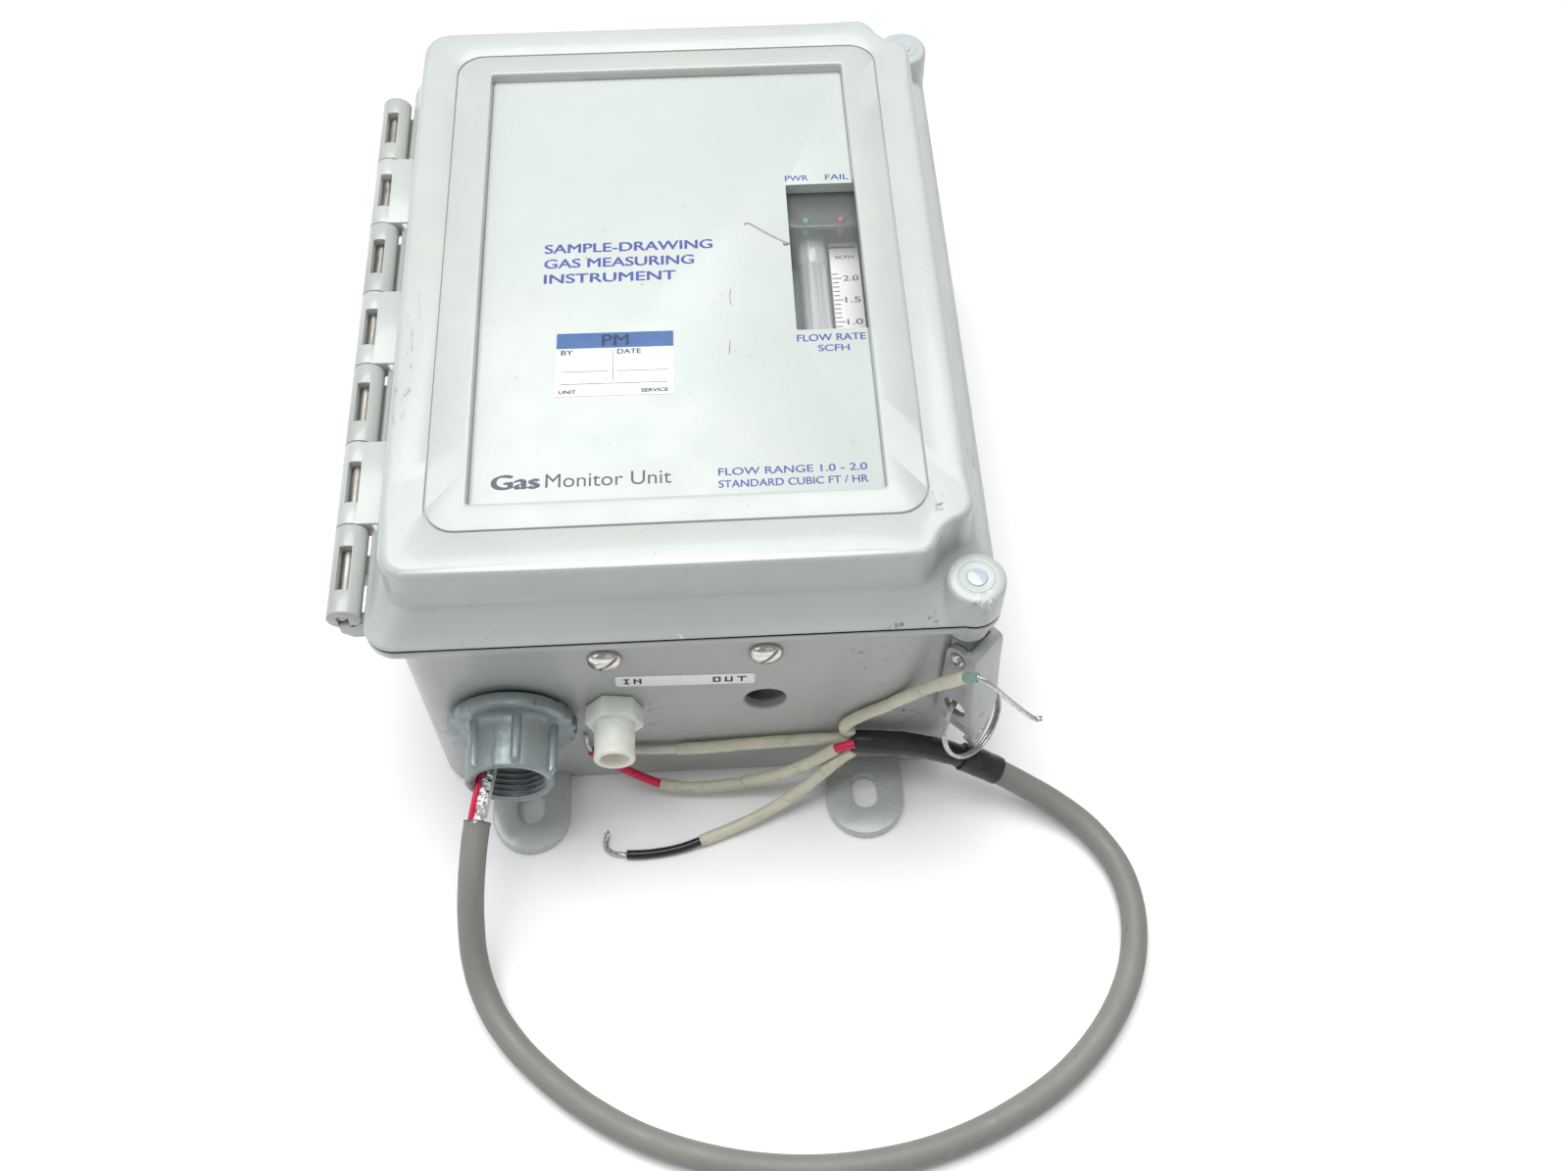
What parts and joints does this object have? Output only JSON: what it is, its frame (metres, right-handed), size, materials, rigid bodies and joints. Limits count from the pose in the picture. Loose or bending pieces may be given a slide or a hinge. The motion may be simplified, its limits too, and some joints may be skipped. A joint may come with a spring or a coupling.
{
  "type": "gas meter",
  "caption": "Wall-mount sample-drawing gas monitor in a grey hinged enclosure with window, corner latches, conduit hub, hose fitting and a shielded cable",
  "frame": {"origin": "centre of the flat back of the enclosure, on the surface it lies on", "axes": "+X toward the latch side, +Y along the enclosure away from the fittings wall, +Z out of the lid"},
  "size_m": [0.2304, 0.3673, 0.121],
  "materials": {
    "base_box": "satin moulded fibreglass-reinforced polyester, light scuffs",
    "hinge_pin": "drawn steel, slightly stained",
    "latch_pin_front": "moulded plastic",
    "latch_pin_rear": "moulded plastic",
    "conduit_hub": "zinc die casting, dull",
    "hub_seal_ring": "rubber",
    "hub_locknut": "zinc die casting",
    "inlet_fitting": "white moulded nylon",
    "inlet_locknut": "white moulded nylon",
    "wall_screws": "nickel-plated steel",
    "wall_nuts": "nickel-plated steel",
    "port_tape": "laminated lettering tape",
    "foot_1": "moulded polyester",
    "foot_2": "moulded polyester",
    "foot_3": "moulded polyester",
    "foot_4": "moulded polyester",
    "foot_screws": "nickel-plated steel",
    "chassis_plate": "mill finish",
    "chassis_screws": "nickel-plated steel",
    "board_standoffs": "turned brass",
    "circuit_board": "solder-masked laminate",
    "terminal_block": "moulded nylon",
    "terminal_screws": "nickel-plated steel",
    "board_parts": "moulded component bodies",
    "lamp_panel": "black moulded bezel",
    "lamp_green": "tinted lamp lens",
    "lamp_red": "tinted lamp lens",
    "flow_block": "clear acrylic",
    "flow_tube": "clear acrylic tube",
    "scale_card": "printed scale strip",
    "sample_pump": "black pump housing",
    "sensor_block": "machined block",
    "inner_leads": "PVC insulation",
    "hose_in": "translucent silicone tube",
    "hose_out": "translucent silicone tube",
    "cable_core": "foil shield around the conductors",
    "cable_jacket": "grey PVC jacket",
    "sleeve_short": "black heat-shrink tube",
    "sleeve_long": "black heat-shrink tube",
    "marker_sleeves": "cream heat-shrink marker tube",
    "wire_tails": "PVC insulation",
    "bare_strands": "tinned copper strands, tarnished",
    "lid": "satin moulded polyester, scuffed on the edges",
    "lid_gasket": "foam rubber",
    "faceplate": "printed polycarbonate label, fine satin",
    "window_pane": "clear polycarbonate",
    "service_sticker": "paper label with a blue band",
    "boss_plug_front": "translucent pale blue sealing plug",
    "boss_plug_rear": "translucent pale blue sealing plug",
    "latch_front": "moulded plastic, worn",
    "latch_rear": "moulded plastic, worn",
    "split_ring": "plated spring steel",
    "flow_float": "black ball",
    "flow_knob": "black moulded knob"
  },
  "bodies": {
    "base": {"base_box": "base_box", "hinge_pin": "hinge_pin", "latch_pin_front": "latch_pin_front", "latch_pin_rear": "latch_pin_rear", "conduit_hub": "conduit_hub", "hub_seal_ring": "hub_seal_ring", "hub_locknut": "hub_locknut", "inlet_fitting": "inlet_fitting", "inlet_locknut": "inlet_locknut", "wall_screws": "wall_screws", "wall_nuts": "wall_nuts", "port_tape": "port_tape", "foot_1": "foot_1", "foot_2": "foot_2", "foot_3": "foot_3", "foot_4": "foot_4", "foot_screws": "foot_screws", "chassis_plate": "chassis_plate", "chassis_screws": "chassis_screws", "board_standoffs": "board_standoffs", "circuit_board": "circuit_board", "terminal_block": "terminal_block", "terminal_screws": "terminal_screws", "board_parts": "board_parts", "lamp_panel": "lamp_panel", "lamp_green": "lamp_green", "lamp_red": "lamp_red", "flow_block": "flow_block", "flow_tube": "flow_tube", "scale_card": "scale_card", "sample_pump": "sample_pump", "sensor_block": "sensor_block", "inner_leads": "inner_leads", "hose_in": "hose_in", "hose_out": "hose_out", "cable_core": "cable_core", "cable_jacket": "cable_jacket", "sleeve_short": "sleeve_short", "sleeve_long": "sleeve_long", "marker_sleeves": "marker_sleeves", "wire_tails": "wire_tails", "bare_strands": "bare_strands"},
    "lid": {"lid": "lid", "lid_gasket": "lid_gasket", "faceplate": "faceplate", "window_pane": "window_pane", "service_sticker": "service_sticker", "boss_plug_front": "boss_plug_front", "boss_plug_rear": "boss_plug_rear"},
    "latch_front": {"latch_front": "latch_front"},
    "latch_rear": {"latch_rear": "latch_rear"},
    "ring": {"split_ring": "split_ring"},
    "float": {"flow_float": "flow_float"},
    "knob": {"flow_knob": "flow_knob"}
  },
  "joints": [
    {"name": "lid_hinge", "type": "hinge", "parent": "base", "child": "lid", "pos_m": [-0.0916, 0, 0.0958], "axis": [0, -1, 0], "range_deg": [0, 178]},
    {"name": "latch_front_pivot", "type": "hinge", "parent": "base", "child": "latch_front", "pos_m": [0.08011, -0.10631, 0.0753], "axis": [-0.7071, -0.7071, 0], "range_deg": [0, 38]},
    {"name": "latch_rear_pivot", "type": "hinge", "parent": "base", "child": "latch_rear", "pos_m": [0.08011, 0.10631, 0.0753], "axis": [0.7071, -0.7071, 0], "range_deg": [0, 38]},
    {"name": "ring_swing", "type": "hinge", "parent": "latch_front", "child": "ring", "pos_m": [0.08159, -0.10779, 0.0484], "axis": [-0.7071, -0.7071, 0], "range_deg": [0, 40]},
    {"name": "float_rise", "type": "slide", "parent": "base", "child": "float", "axis": [0, 1, 0], "range_m": [0, 0.064]},
    {"name": "valve_turn", "type": "hinge", "parent": "base", "child": "knob", "pos_m": [0.043, -0.061, 0.1], "axis": [0, 0, 1], "range_deg": [-360, 360]}
  ]
}
